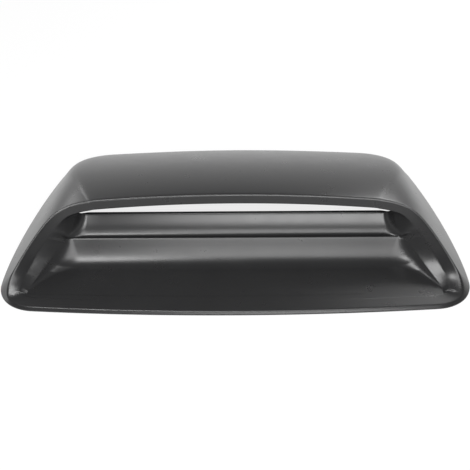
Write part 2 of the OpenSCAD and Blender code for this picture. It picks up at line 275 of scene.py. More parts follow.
class ScoopForm:
    """The moulding's skin as a grid of points, from its sizes."""

    # Fine steps in each coarse step of the plan, and coarse steps of its stretches
    detail = 4
    front_steps = 9
    corner_steps = 10
    tray_side_steps = 19
    side_steps = 6
    turn_steps = 8
    rear_steps = 6
    ramp_steps = 5
    # The apron takes those of the front corner and the next two
    apron_steps = corner_steps + 2
    # Share of the side line whose sections carry the tray
    tray_share = 0.56
    # Crowding of the points towards the front corner, and of the corner's towards the side
    front_crowd = 2.4
    corner_crowd = 1.3
    # The side keeps its full width this far behind the front corner
    side_full = 110 * MM
    # The rear line leaves its corner a little steeper than its bow, and the corner takes less of it
    rear_rise = 1.35
    rear_take = 0.92
    # Handles of the plan's curves, as shares of their corners and as lengths
    corner_pull = 0.56
    turn_pull_side = 0.6
    turn_pull_rear = 0.55
    side_pull_front = 60 * MM
    side_pull_rear = 90 * MM
    rear_pull = 68 * MM
    # The roof has its full crown at the shoulders, this far inside the widest part
    shoulder_in = 82 * MM
    # The roof's inner skin lies a little more than a wall lower, because the roof slopes
    roof_drop = 1.06
    # Neither skin is taken to be lower than this
    least_z = 1 * MM
    # Each section runs from the outline towards a spine across the mouth
    spine_y = 100 * MM
    spine_in = 142 * MM
    spine_share = 0.85
    # Rounding between the level and the raked rim, and halvings in the search for it
    rim_blend = 5.5 * MM
    rim_halvings = 32
    # The band turns over a height above the front, and narrows above another one
    band_rise = 40 * MM
    narrow_z = 50 * MM
    # Step for the skin's slope at the rim, room between inner corner and foot, and the most of the
    # skin that the rounded rim takes
    slope_step = 0.5 * MM
    foot_clear = 1.5 * MM
    rim_take = 0.35
    # Rows of a section on the skin, the rim, the band, its edges, its back and the inner skin
    skin_rows = 44
    round_rows = 6
    band_rows = 8
    lip_rows = 4
    back_rows = 4
    inner_rows = 18
    # Coarse steps over which the tray's sections pass into those of the lip
    join_steps = 2
    # Columns of half the tray on the floor, the hollow corner, the bead and the cheek
    floor_columns = 10
    hollow_columns = 12
    bead_columns = 4
    # Handles of the first ramp at the hollow and at the crest
    hollow_pull = np.array([15, 0.6]) * MM
    crest_pull = np.array([19, 19]) * MM
    # Start of the second ramp on a ledge behind the crest, and its handles
    ledge = np.array([6, -4]) * MM
    ledge_pull = np.array([8, 0.5]) * MM
    sill_pull = np.array([7, 13]) * MM
    # Rounding of both crests, flat top and back of the first, and flat top and rounded rear of the second
    crest_round = 1 * MM
    crest_flat = 2.5 * MM
    crest_back = np.array([1.7, -2.4]) * MM
    sill_flat = 3.5 * MM
    sill_bulge = 0.5 * MM
    # Rows beyond each crest that are smoothed with it, and how often
    soft_rows = 3
    crest_passes = 8
    sill_passes = 5
    # Steepest slope at which the tray's wall still has its full thickness
    steepest = math.radians(62)
    # Turn of the hollow corner between floor and bead, and how much of the way it follows the side band
    hollow_turn = math.radians(80)
    swing_share = 0.5
    # Share of the turn that its back has, once the bead stands this many walls over the floor
    back_share = 0.8
    back_walls = 2
    # Start of the side bead, its height over the rim there, and how gently its climb sets in
    bead_front_y = 40 * MM
    bead_front_rise = 0.6 * MM
    bead_start = 0.1
    # How the bead closes in behind the crest, and its height over the floor there and under the lip
    bead_narrowing = 0.6
    bead_over_crest = 5 * MM
    bead_over_sill = 11 * MM
    # The bead stays this far inside the side band, below it and above the floor, and where the band
    # is too low for that it may still rise this far
    bead_clear = 2.5 * MM
    bead_under = 1 * MM
    bead_least = 0.1 * MM
    bead_room = 0.15 * MM
    # The most of the bead's height that its rounding takes
    bead_take = 0.4

    def __init__(self, plan, skin, mouth):
        self.plan, self.skin_sizes, self.mouth = plan, skin, mouth
        self.front = self.front_steps * self.detail
        self.rows = (self.corner_steps + self.tray_side_steps) * self.detail
        self.last = self.front + self.rows
        self.half_w = plan.body_w / 2
        self.slope = math.tan(skin.side_angle)
        self.shoulder_x = self.half_w - self.shoulder_in
        self.front_x = self.half_w - plan.front_corner
        self.outline = self.plan_points()
        self.count = len(self.outline)
        along = tangents(self.outline)
        self.normal = np.column_stack([along[:, 1], -along[:, 0]])
        spine_x = self.half_w - self.spine_in
        spine = np.column_stack(
            [
                np.clip(self.spine_share * self.outline[:, 0], -spine_x, spine_x),
                np.full(self.count, self.spine_y),
            ]
        )
        self.heading = unit(spine - self.outline)
        self.lean = -dot(self.heading, self.normal)
        self.find_rim(np.linalg.norm(spine - self.outline, axis=1))
        self.find_band()
        self.find_entry()

    def bow_at(self, x):
        """How far the front edge has fallen back at a distance x from its middle."""
        return self.plan.front_bow * (x / self.front_x) ** 2

    def plan_points(self):
        """The base outline, anticlockwise from the middle of the front edge."""
        p = self.plan
        front_end = np.array([self.front_x, p.front_bow])
        side_start = np.array([self.half_w, p.front_bow + p.front_corner])
        rear_vertex = np.array([p.rear_w / 2, p.body_d - p.rear_bow])
        side_dir = unit(rear_vertex - side_start - [0, self.side_full])
        rear_dir = unit(np.array([-rear_vertex[0], self.rear_rise * p.rear_bow]))
        turn_start = rear_vertex - p.rear_corner * side_dir
        turn_end = rear_vertex + self.rear_take * p.rear_corner * rear_dir
        corner_pull = self.corner_pull * p.front_corner
        front_dir = unit(np.array([self.front_x, 2 * p.front_bow]))

        def steps(count, end=False):
            """Shares of the way along a stretch of so many coarse steps, in fine ones."""
            number = count * self.detail
            return np.arange(number + (1 if end else 0)) / number

        x = self.front_x * (1 - (1 - steps(self.front_steps)) ** self.front_crowd)
        front = np.column_stack([x, self.bow_at(x)])
        corner = bezier(
            front_end,
            front_end + corner_pull * front_dir,
            side_start - [0, corner_pull],
            side_start,
            1 - (1 - steps(self.corner_steps)) ** self.corner_crowd,
        )
        side_t = np.concatenate(
            [
                self.tray_share * steps(self.tray_side_steps),
                mix(self.tray_share, 1, steps(self.side_steps)),
            ]
        )
        side = bezier(
            side_start,
            side_start + [0, self.side_pull_front],
            turn_start - self.side_pull_rear * side_dir,
            turn_start,
            side_t,
        )
        turn = bezier(
            turn_start,
            turn_start + self.turn_pull_side * p.rear_corner * side_dir,
            turn_end - self.turn_pull_rear * p.rear_corner * rear_dir,
            turn_end,
            steps(self.turn_steps),
        )
        rear = bezier(
            turn_end,
            turn_end + self.rear_pull * rear_dir,
            [self.rear_pull, p.body_d],
            [0, p.body_d],
            steps(self.rear_steps, end=True),
        )
        right = np.concatenate([front, corner, side, turn, rear])
        left = right[-2:0:-1] * [-1, 1]
        return np.concatenate([right, left])

    def roof(self, p):
        """Height of the roof over plan points, before the sides cut it."""
        k = self.skin_sizes
        s = (p[:, 1] - k.lip_y) / (self.plan.body_d - k.lip_y)
        fall = k.roof_fall * s + (1 - k.roof_fall) * np.maximum(s, 0) ** 2
        crown = k.roof_crown * (p[:, 0] / self.shoulder_x) ** 2
        return np.maximum(self.least_z, k.lip_z - (k.lip_z - k.tail_z) * fall - crown)

    def lower_of(self, a, b):
        """The lower of two heights, rounded where they meet."""
        n = self.skin_sizes.shoulder
        return (a**-n + b**-n) ** (-1 / n)

    def skin(self, p, d):
        """Height of the outer skin over plan points that lie d inside the foot."""
        return self.lower_of(self.roof(p), self.skin_sizes.edge_h + self.slope * np.maximum(d, 0))

    def skin_inside(self, p, d):
        """Height of the inner skin over the same points."""
        k = self.skin_sizes
        roof = self.roof(p) - self.roof_drop * k.wall
        side = k.edge_h + self.slope * d - k.wall / math.cos(k.side_angle)
        return self.lower_of(np.maximum(self.least_z, roof), np.maximum(self.least_z, side))

    def at(self, s):
        """Plan points at distances s along the sections."""
        return self.outline + s[:, None] * self.heading

    def skin_height(self, s):
        """Heights of the outer skin at distances s along the sections."""
        return self.skin(self.at(s), s * self.lean)

    def on_skin(self, s):
        """Points of the outer skin at distances s along the sections."""
        return np.column_stack([self.at(s), self.skin_height(s)])

    def rim_shape(self, y):
        """Height and slope of the mouth's rim, level in front and raked up to the lip."""
        low = self.mouth.front_z
        raked = self.skin_sizes.lip_z + self.mouth.rake * (y - self.skin_sizes.lip_y)
        gap = np.hypot(low - raked, self.rim_blend)
        return (low + raked + gap) / 2, self.mouth.rake * (1 + (raked - low) / gap) / 2

    def find_rim(self, reach):
        """Halving search for the place on each section where the skin reaches the rim's height."""
        low = np.zeros(self.count)
        high = reach
        for _ in range(self.rim_halvings):
            s = (low + high) / 2
            under = self.skin_height(s) < self.rim_shape(self.at(s)[:, 1])[0]
            low = np.where(under, s, low)
            high = np.where(under, high, s)
        self.rim_s = (low + high) / 2
        plan = self.at(self.rim_s)
        self.rim = np.column_stack([plan, self.rim_shape(plan[:, 1])[0]])

    def find_band(self):
        """Direction, face and inner edge of the band that turns from the rim into the mouth."""
        m = self.mouth
        slope = self.rim_shape(self.rim[:, 1])[1]
        normal = unit(np.column_stack([np.zeros(self.count), -slope, np.ones(self.count)]))
        inward = unit(np.cross(normal, tangents(self.rim)))
        turn = (m.band_turn * ease((self.rim[:, 2] - m.front_z) / self.band_rise))[:, None]
        self.band_dir = np.cos(turn) * inward - np.sin(turn) * normal
        self.band_face = np.cos(turn) * normal + np.sin(turn) * inward
        share = ease((self.rim[:, 2] - self.narrow_z) / (self.skin_sizes.lip_z - self.narrow_z))
        self.band_width = mix(m.side_band, m.lip_band, share)[:, None]
        self.band_end = self.rim + self.band_width * self.band_dir

    def find_entry(self):
        """Directions in which the tray leaves the band's edge, in the sections that carry it."""
        ends = self.band_end
        picked = slice(self.front + 1, self.last + 1)
        back = ends - self.skin_sizes.wall * self.band_face
        half = self.tray_half(ends[picked], back[picked])[0]
        ahead = unit(half[0] - ends[: self.front])
        inward = unit(half[:, -1] - ends[picked])
        corner = unit(ahead[-1] + inward[0])
        right = np.concatenate([ahead, [corner], inward])
        self.entry = -self.band_face
        self.entry[: self.last + 1] = right
        self.entry[-self.last :] = right[:0:-1] * [-1, 1, 1]
        places = np.arange(self.count)
        nearest = np.minimum(places, self.count - places)
        self.joined = ease((self.last - nearest) / (self.join_steps * self.detail))[:, None]

    def inner_rim(self):
        """The corner between the band's back and the inner skin."""
        e = np.minimum(self.rim_s, self.slope_step)
        rise = (self.skin_height(self.rim_s) - self.skin_height(self.rim_s - e)) / e
        face = unit(np.column_stack([-rise[:, None] * self.heading, np.ones(self.count)]))
        share = (1 + dot(face, self.band_face))[:, None]
        q = self.rim - self.skin_sizes.wall * (face + self.band_face) / share
        s = dot(q[:, :2] - self.outline, self.heading)
        least = (self.skin_sizes.foot_w + self.foot_clear) / self.lean
        q[:, :2] = np.where((s < least)[:, None], self.at(least), q[:, :2])
        return q

    def ring_rows(self):
        """The rows of points round the wall, from the foot over the rim to the foot's inner edge."""
        k = self.skin_sizes
        r = np.minimum(self.mouth.rim_round, self.rim_take * self.rim_s)
        lip_r = self.mouth.lip_round
        top = self.rim_s - r
        rows = [np.column_stack([self.outline, np.zeros(self.count)])]
        rows += [self.on_skin(top * t) for t in np.linspace(0, 1, self.skin_rows)[:-1]]
        band_start = self.rim + r[:, None] * self.band_dir
        rows += fillet(self.on_skin(top), self.rim, band_start, self.round_rows)
        band_stop = self.band_end - lip_r * self.band_dir
        rows += [mix(band_start, band_stop, t) for t in np.linspace(0, 1, self.band_rows + 1)[1:-1]]
        under_lip = self.band_end - lip_r * self.band_face
        middle = self.lip_rows // 2
        lip_edge = fillet(band_stop, self.band_end, under_lip, self.lip_rows)
        tray_edge = fillet(band_stop, self.band_end, self.band_end + lip_r * self.entry, middle)
        joint = [mix(a, b, self.joined) for a, b in zip(lip_edge, tray_edge)]
        self.band_row = len(rows) + middle
        rows += joint + lip_edge[len(joint) :]
        back_end = self.band_end - k.wall * self.band_face
        back_start = back_end + lip_r * self.band_face
        back_stop = back_end - lip_r * self.band_dir
        self.back_row = len(rows) + middle
        rows += fillet(back_start, back_end, back_stop, self.lip_rows)
        inside = self.inner_rim()
        rows += [mix(back_stop, inside, t) for t in np.linspace(0, 1, self.back_rows + 1)[1:]]
        foot_s = k.foot_w / self.lean
        inside_s = np.linalg.norm(inside[:, :2] - self.outline, axis=1)
        for t in np.linspace(1, 0, self.inner_rows + 1)[1:]:
            s = mix(foot_s, inside_s, t)
            plan = self.at(s)
            height = np.minimum(inside[:, 2], self.skin_inside(plan, s * self.lean))
            rows.append(np.column_stack([plan, height]))
        rows.append(np.column_stack([self.at(foot_s), np.zeros(self.count)]))
        return np.stack(rows, axis=1)

    def tray_profile(self, sides):
        """Distance and height of the tray's centre line for each fine row."""
        m, d = self.mouth, self.detail
        bow = self.bow_at(sides[:, 0])
        apron_rows = self.apron_steps * d
        y = (sides[:, 1] - bow)[:apron_rows] / (1 - bow[:apron_rows] / m.crease_y)
        start = self.band_end[0]
        z = mix(start[2], m.crease_z, (y - start[1]) / (m.crease_y - start[1]))
        apron = np.column_stack([y, z])
        crease = np.array([m.crease_y, m.crease_z])
        crest = np.array([m.crest_y, m.crest_z])
        sill = np.array([m.sill_y, m.sill_z])
        crest_start = crest - self.crest_round
        sill_start = sill - self.crest_round
        even = np.arange(1, d + 1) / d
        curve = np.arange(1, self.ramp_steps * d + 1) / (self.ramp_steps * d)
        ramp_1 = bezier(crease, crease + self.hollow_pull, crest - self.crest_pull, crest_start, curve)
        ledge = crest + self.ledge
        ramp_2 = bezier(ledge, ledge + self.ledge_pull, sill_start - self.sill_pull, sill_start, curve)

        def straight(a, *stops):
            """Evenly spaced points from a to each of the stops."""
            pieces = []
            for b in stops:
                pieces.append(mix(a, b, even[:, None]))
                a = b
            return np.concatenate(pieces)

        to_crease = straight(apron[-1], crease)
        crest_end = crest + [self.crest_flat, 0]
        over_crest = straight(ramp_1[-1], crest, crest_end, crest_end + self.crest_back, ledge)
        sill_edge = sill + [self.crest_round / 2, 0]
        over_sill = straight(ramp_2[-1], sill_edge, sill_edge + [self.sill_flat, 0])
        line = np.concatenate([apron, to_crease, ramp_1, over_crest, ramp_2, over_sill])
        first = len(apron) + len(to_crease) + len(ramp_1) - self.soft_rows
        last = first + len(over_crest) + 2 * self.soft_rows
        line = softened(line, first, last, self.crest_passes)
        end = len(line) - self.soft_rows
        return softened(line, end - len(over_sill), end, self.sill_passes)

    def bead_share(self, y):
        """Share of the way from the bead's start to the crest."""
        return np.clip((y - self.bead_front_y) / (self.mouth.crest_y - self.bead_front_y), 0, 1)

    def corner_width(self, y):
        """Width of the hollow corner between the tray's floor and the bead."""
        crease_y, crest_y = self.mouth.crease_y, self.mouth.crest_y
        # Distance behind the front edge, and the width there
        widths = [
            (20 * MM, 3 * MM),
            (crease_y - 26 * MM, 7 * MM),
            (crease_y - 6 * MM, 18 * MM),
            (crease_y + 6 * MM, 40 * MM),
            (crease_y + 22 * MM, 32 * MM),
            (crest_y, 12 * MM),
            (crest_y + 12 * MM, 22 * MM),
            (self.mouth.sill_y, 14 * MM),
        ]
        return np.interp(y, *zip(*widths))

    def tray_half(self, sides, backs):
        """Points of half the tray's upper face, and the steps to its lower face, row by row."""
        m, wall = self.mouth, self.skin_sizes.wall
        line = self.tray_profile(sides)
        y0, z0 = line[:, 0], line[:, 1]
        run, rise = np.abs(np.gradient(line, axis=0)).T
        lean = np.minimum(self.steepest, np.arctan2(rise, run))
        drop = wall / np.cos(lean)
        bow = np.maximum(0, 1 - y0 / m.crease_y)
        past = np.maximum(0, y0 - m.crest_y)
        bead_in = mix(m.bead_front_in, m.bead_crest_in, self.bead_share(y0)) + self.bead_narrowing * past
        x_bead = np.minimum(self.half_w - bead_in, sides[:, 0] - self.bead_clear)
        width = self.corner_width(y0)
        x_floor = x_bead - width
        y_bead = y0 + bow * self.bow_at(x_bead)
        climb = np.hypot(self.bead_share(y_bead), self.bead_start) - self.bead_start
        climb /= math.hypot(1, self.bead_start) - self.bead_start
        rising = mix(m.front_z + self.bead_front_rise, m.crest_z, climb)
        nearness = np.minimum(1, past / (m.sill_y - m.crest_y))
        over = mix(self.bead_over_crest, self.bead_over_sill, nearness)
        z_bead = np.where(y_bead < m.crest_y, rising, np.maximum(m.crest_z, z0 + over))
        highest = np.maximum(z0 + self.bead_room, sides[:, 2] - self.bead_under)
        z_bead = np.clip(z_bead, z0 + self.bead_least, highest)
        full_turn = np.clip((z_bead - z0) / (self.back_walls * wall), 0, 1)
        back_turn = self.back_share * self.hollow_turn * full_turn
        none = np.zeros(len(line))

        def floor_point(share):
            """Points across the floor, from the centre line to the hollow corner."""
            x = share * x_floor
            return np.column_stack([x, y0 + bow * self.bow_at(x), z0])

        def hollow_point(share):
            """Points up the hollow corner, from the floor to the bead."""
            a = self.hollow_turn * share
            x = x_floor + width * math.sin(a) / math.sin(self.hollow_turn)
            y = mix(y0 + bow * self.bow_at(x), sides[:, 1], self.swing_share * ease(share))
            height = (1 - math.cos(a)) / (1 - math.cos(self.hollow_turn))
            return np.column_stack([x, y, mix(z0, z_bead, height)])

        def hollow_step(share):
            """Steps from the hollow corner's face to its back."""
            b = back_turn * share
            return np.column_stack([wall * np.sin(b), none, -mix(drop, wall, share) * np.cos(b)])

        floor = [(floor_point(t), hollow_step(0)) for t in np.linspace(0, 1, self.floor_columns + 1)]
        hollow = [
            (hollow_point(t), hollow_step(t)) for t in np.linspace(0, 1, self.hollow_columns + 1)[1:-1]
        ]
        bead = hollow_point(1)
        r = np.minimum(m.bead_round, self.bead_take * (z_bead - z0))[:, None]
        before = bead - r * unit(bead - hollow[-1][0])
        after = bead + r * unit(sides - bead)
        bead_step = hollow_step(1)
        rounded = [(p, bead_step) for p in fillet(before, bead, after, self.bead_columns)]
        side_step = backs - sides
        cheek_columns = self.front - len(floor) - len(hollow) - len(rounded) + 1
        cheek = [
            (mix(after, sides, t), mix(bead_step, side_step, t))
            for t in np.linspace(0, 1, cheek_columns + 1)[1:-1]
        ]
        columns = floor + hollow + rounded + cheek
        return np.stack([c[0] for c in columns], axis=1), np.stack([c[1] for c in columns], axis=1)

    def build(self):
        """All points and faces of the closed skin."""
        rings = self.ring_rows()
        count, size = rings.shape[:2]
        front, rows, last = self.front, self.rows, self.last
        picked = slice(front + 1, last + 1)
        upper, step = self.tray_half(rings[picked, self.band_row], rings[picked, self.back_row])
        halves = [upper, upper + step]
        edge_rows = range(self.band_row, self.back_row + 1)
        points = [rings.reshape(-1, 3)]
        start = count * size
        columns = upper.shape[1]
        face_start = {}
        for number, half in enumerate(halves):
            face_start[number] = start
            full = np.concatenate([half[:, :0:-1] * [-1, 1, 1], half], axis=1)
            points.append(full.reshape(-1, 3))
            start += full.shape[0] * full.shape[1]
        sill_upper, sill_lower = halves[0][-1], halves[1][-1]
        sill_start = {}
        for row in edge_rows[1:-1]:
            share = (row - edge_rows[0]) / (len(edge_rows) - 1)
            bulge = math.sin(math.pi * share) * self.sill_bulge
            half = mix(sill_upper, sill_lower, share) + [0, bulge, 0]
            sill_start[row] = start
            full = np.concatenate([half[:0:-1] * [-1, 1, 1], half])
            points.append(full)
            start += len(full)

        def ring(i, j):
            """Number of point j of section i."""
            return (i % count) * size + j % size

        def tray(number, k, c):
            """Number of the point in row k and column c of the tray's upper or lower face."""
            row = (self.band_row, self.back_row)[number]
            if k == 0:
                return ring(c, row)
            if abs(c) == front:
                return ring(front + k if c > 0 else -front - k, row)
            return face_start[number] + (k - 1) * (2 * columns - 1) + c + columns - 1

        def sill(row, c):
            """Number of the point in column c of a row of the tray's rear edge."""
            if row == self.band_row:
                return tray(0, rows, c)
            if row == self.back_row:
                return tray(1, rows, c)
            if abs(c) == front:
                return ring(last if c > 0 else -last, row)
            return sill_start[row] + c + columns - 1

        faces = []
        for i in range(count):
            for j in range(size):
                opened = self.band_row <= j < self.back_row and not last <= i < count - last
                if not opened:
                    faces.append((ring(i, j), ring(i + 1, j), ring(i + 1, j + 1), ring(i, j + 1)))
        for c in range(-front, front):
            for k in range(rows):
                faces.append((tray(0, k, c), tray(0, k, c + 1), tray(0, k + 1, c + 1), tray(0, k + 1, c)))
                faces.append((tray(1, k, c), tray(1, k + 1, c), tray(1, k + 1, c + 1), tray(1, k, c + 1)))
            for row in edge_rows[:-1]:
                faces.append((sill(row, c), sill(row, c + 1), sill(row + 1, c + 1), sill(row + 1, c)))
        points = np.concatenate(points)
        points[:, 1] -= self.plan.body_d / 2
        return points, faces


class UndersideForm:
    """The plates under the skin, from their sizes, measured from the front edge."""

    # Steps along a web and along a rib, sides of a round boss, and ribs under the roof
    web_steps = 12
    rib_steps = 24
    boss_sides = 48
    rib_copies = 3
    # Part of the land that a web ends on, clear height of its foot, and its rise over the boss
    web_over_land = 0.6
    web_clear = 1 * MM
    web_over_boss = 4 * MM
    # How far the rear webs turn to the rear for each step to the side
    rear_web_turn = 0.6
    # Share of a rib's length over which each of its ends runs out
    rib_fade = 0.25

    def __init__(self, form, sizes):
        self.form, self.sizes = form, sizes
        half_d = form.plan.body_d / 2
        self.bosses = []
        for mount in (MOUNTS["front_screws"], MOUNTS["rear_screws"]):
            x = mount["dims"]["spacing_x_mm"] * MM / 2
            self.bosses.append(np.array([x, mount["pos_m"][1] + half_d]))

    def nearest(self, p):
        """Distance of a plan point inside the foot, and the outward direction there."""
        place = np.argmin(np.linalg.norm(self.form.outline - p, axis=1))
        outward = self.form.normal[place]
        return dot(self.form.outline[place] - p, outward), outward

    def mid_wall(self, p):
        """Height of the middle of the wall over one plan point."""
        inset = np.array([self.nearest(p)[0]])
        point = p[None, :]
        return (self.form.skin(point, inset)[0] + self.form.skin_inside(point, inset)[0]) / 2

    def plate(self, plan, low, high):
        """A closed plate over a line of plan points, between lower and upper heights."""
        along = unit(plan[-1] - plan[0])
        across = self.sizes.rib_t / 2 * np.array([along[1], -along[0]])
        points = []
        for side in (across, -across):
            for heights in (low, high):
                points += [(*(p + side), z) for p, z in zip(plan, heights)]
        n = len(plan)
        faces = []
        for k in range(n - 1):
            faces.append((k, k + 1, n + k + 1, n + k))
            faces.append((2 * n + k, 3 * n + k, 3 * n + k + 1, 2 * n + k + 1))
            faces.append((n + k, n + k + 1, 3 * n + k + 1, 3 * n + k))
            faces.append((k, 2 * n + k, 2 * n + k + 1, k + 1))
        faces.append((0, n, 3 * n, 2 * n))
        faces.append((n - 1, 3 * n - 1, 4 * n - 1, 2 * n - 1))
        return np.array(points), faces

    def web(self, boss, direction):
        """The web from a boss to the side wall."""
        inset, outward = self.nearest(boss)
        reach = (inset - self.web_over_land * self.form.skin_sizes.foot_w) / dot(direction, outward)
        plan = boss + np.linspace(0, reach, self.web_steps + 1)[:, None] * direction
        top = self.sizes.boss_h + self.web_over_boss
        high = [min(top, self.mid_wall(p)) for p in plan]
        return self.plate(plan, [self.web_clear] * len(plan), high)

    def rib(self):
        """The rib on the centre line, whose ends run out."""
        sizes, form = self.sizes, self.form
        y = np.linspace(
            form.skin_sizes.lip_y + sizes.rib_start, form.plan.body_d - sizes.rib_stop, self.rib_steps + 1
        )
        plan = np.column_stack([np.zeros(len(y)), y])
        high = np.array([self.mid_wall(p) for p in plan])
        share = np.linspace(0, 1, len(y))
        full = np.minimum(1, np.minimum(share, 1 - share) / self.rib_fade)
        return self.plate(plan, high - form.skin_sizes.wall / 2 - sizes.rib_h * full, high)


def make_object(name, points, faces, material):
    """A smooth-shaded object with closed faces that point outwards."""
    mesh = bpy.data.meshes.new(name)
    mesh.from_pydata([tuple(p) for p in points], [], [tuple(f) for f in faces])
    mesh.validate()
    piece = bpy.data.objects.new(name, mesh)
    bpy.context.scene.collection.objects.link(piece)
    bpy.context.view_layer.objects.active = piece
    bpy.ops.object.select_all(action="DESELECT")
    piece.select_set(True)
    bpy.ops.object.mode_set(mode="EDIT")
    bpy.ops.mesh.select_all(action="SELECT")
    bpy.ops.mesh.delete_loose()
    bpy.ops.mesh.select_all(action="SELECT")
    bpy.ops.mesh.normals_make_consistent(inside=False)
    bpy.ops.object.mode_set(mode="OBJECT")
    mesh.shade_smooth()
    mesh.set_sharp_from_angle(angle=SKIN_SHARP)
    mesh.materials.append(material)
    return piece


def node(tree, kind, at, **values):
    """A node with its settings and input values."""
    made = tree.nodes.new(kind)
    made.location = at
    for key, value in values.items():
        if key in made.inputs:
            made.inputs[key].default_value = value
        else:
            setattr(made, key, value)
    return made


def map_range(tree, at, before, after, kind="LINEAR"):
    """A node that takes the values of one range to another."""
    made = node(tree, "ShaderNodeMapRange", at, interpolation_type=kind)
    for name, value in zip(("From Min", "From Max", "To Min", "To Max"), (*before, *after)):
        made.inputs[name].default_value = value
    return made


def worked_out(tree, at, operation, *terms):
    """The output of a Math node, whose terms are numbers or other outputs."""
    made = node(tree, "ShaderNodeMath", at, operation=operation)
    for term, socket in zip(terms, made.inputs):
        if isinstance(term, bpy.types.NodeSocket):
            tree.links.new(term, socket)
        else:
            socket.default_value = term
    return made.outputs[0]


def satin_plastic(settings):
    """Satin black moulded plastic: faint clouding, uneven gloss and a fine grain."""
    material = bpy.data.materials.new("satin_black_plastic")
    material.use_nodes = True
    tree = material.node_tree
    shader = tree.nodes["Principled BSDF"]
    shader.inputs["IOR"].default_value = 1.5
    place = node(tree, "ShaderNodeTexCoord", (-1100, 0))
    clouds = node(tree, "ShaderNodeTexNoise", (-850, 200), Scale=9.0, Detail=3.0, Roughness=0.5)
    tint = node(tree, "ShaderNodeMix", (-300, 250), data_type="RGBA")
    tint.inputs["A"].default_value = (*settings.base, 1)
    tint.inputs["B"].default_value = (*settings.bloom, 1)
    gloss = map_range(tree, (-300, -20), (0, 1), (settings.glossiest, settings.dullest))
    patches = node(tree, "ShaderNodeTexNoise", (-850, -60), Scale=34.0, Detail=4.0, Roughness=0.6)
    grain = node(tree, "ShaderNodeTexNoise", (-850, -320), Scale=1 / settings.grain, Detail=2.0)
    bump = node(tree, "ShaderNodeBump", (-300, -320), Strength=0.3, Distance=settings.grain_depth)
    links = tree.links
    for texture in (clouds, patches, grain):
        links.new(place.outputs["Object"], texture.inputs["Vector"])
    links.new(clouds.outputs["Fac"], tint.inputs["Factor"])
    links.new(tint.outputs["Result"], shader.inputs["Base Color"])
    links.new(patches.outputs["Fac"], gloss.inputs["Value"])
    links.new(gloss.outputs["Result"], shader.inputs["Roughness"])
    links.new(grain.outputs["Fac"], bump.inputs["Height"])
    links.new(bump.outputs["Normal"], shader.inputs["Normal"])
    return material


def finish_material():
    """The one plastic that every piece of the moulding shares."""
    made = bpy.data.materials.get("satin_black_plastic")
    return made or satin_plastic(bpy.context.scene.scoop_finish)


def new_tree(name, inputs):
    """A node tree for meshes, with named sizes, and its group input and output."""
    tree = bpy.data.node_groups.new(name, "GeometryNodeTree")
    tree.interface.new_socket("Mesh", in_out="INPUT", socket_type="NodeSocketGeometry")
    tree.interface.new_socket("Mesh", in_out="OUTPUT", socket_type="NodeSocketGeometry")
    for key, kind in inputs.items():
        tree.interface.new_socket(key, in_out="INPUT", socket_type=kind)
    return tree, node(tree, "NodeGroupInput", (-900, 0)), node(tree, "NodeGroupOutput", (900, 0))


def finish_tree(tree, geometry, output):
    """Ends a tree with real meshes in the moulding's plastic."""
    real = node(tree, "GeometryNodeRealizeInstances", (500, 0))
    finish = node(tree, "GeometryNodeSetMaterial", (700, 0), Material=finish_material())
    tree.links.new(geometry, real.inputs["Geometry"])
    tree.links.new(real.outputs["Geometry"], finish.inputs["Geometry"])
    tree.links.new(finish.outputs["Geometry"], output.inputs[0])


def round_bar(tree, row, given, radius, height, below):
    """An upright cylinder of the given sizes, which starts below the foot by a share of its height."""
    bar = node(tree, "GeometryNodeMeshCylinder", (-500, row))
    place = node(tree, "ShaderNodeCombineXYZ", (-350, row + 150))
    lift = node(tree, "GeometryNodeTransform", (-200, row))
    given_height = given.outputs[height]
    depth = worked_out(tree, (-700, row), "MULTIPLY", given_height, 1 + below)
    middle = worked_out(tree, (-700, row + 150), "MULTIPLY", given_height, (1 - below) / 2)
    links = tree.links
    links.new(given.outputs["Sides"], bar.inputs["Vertices"])
    links.new(given.outputs[radius], bar.inputs["Radius"])
    links.new(depth, bar.inputs["Depth"])
    links.new(middle, place.inputs["Z"])
    links.new(bar.outputs["Mesh"], lift.inputs["Geometry"])
    links.new(place.outputs["Vector"], lift.inputs["Translation"])
    return lift.outputs["Geometry"]


def boss_tree():
    """A boss with a blind pilot hole from below, on every point of the mesh."""
    length_socket = "NodeSocketFloat"
    inputs = {
        "Radius": length_socket,
        "Height": length_socket,
        "Hole radius": length_socket,
        "Hole depth": length_socket,
        "Sides": "NodeSocketInt",
    }
    tree, given, output = new_tree("screw_boss", inputs)
    links = tree.links
    boss = round_bar(tree, -200, given, "Radius", "Height", 0)
    hole = round_bar(tree, -500, given, "Hole radius", "Hole depth", DRILL_START)
    drilled = node(tree, "GeometryNodeMeshBoolean", (0, 0), operation="DIFFERENCE")
    links.new(boss, drilled.inputs["Mesh 1"])
    links.new(hole, drilled.inputs["Mesh 2"])
    spread = node(tree, "GeometryNodeInstanceOnPoints", (250, 0))
    links.new(given.outputs["Mesh"], spread.inputs["Points"])
    links.new(drilled.outputs["Mesh"], spread.inputs["Instance"])
    finish_tree(tree, spread.outputs["Instances"], output)
    return tree


def mirror_tree():
    """The mesh and its mirrored copy at the left."""
    tree, given, output = new_tree("both_sides", {})
    copy = node(tree, "GeometryNodeTransform", (-500, -200), Scale=(-1, 1, 1))
    turned = node(tree, "GeometryNodeFlipFaces", (-250, -200))
    both = node(tree, "GeometryNodeJoinGeometry", (0, 0))
    tree.links.new(given.outputs["Mesh"], copy.inputs["Geometry"])
    tree.links.new(copy.outputs["Geometry"], turned.inputs["Mesh"])
    tree.links.new(given.outputs["Mesh"], both.inputs["Geometry"])
    tree.links.new(turned.outputs["Mesh"], both.inputs["Geometry"])
    finish_tree(tree, both.outputs["Geometry"], output)
    return tree


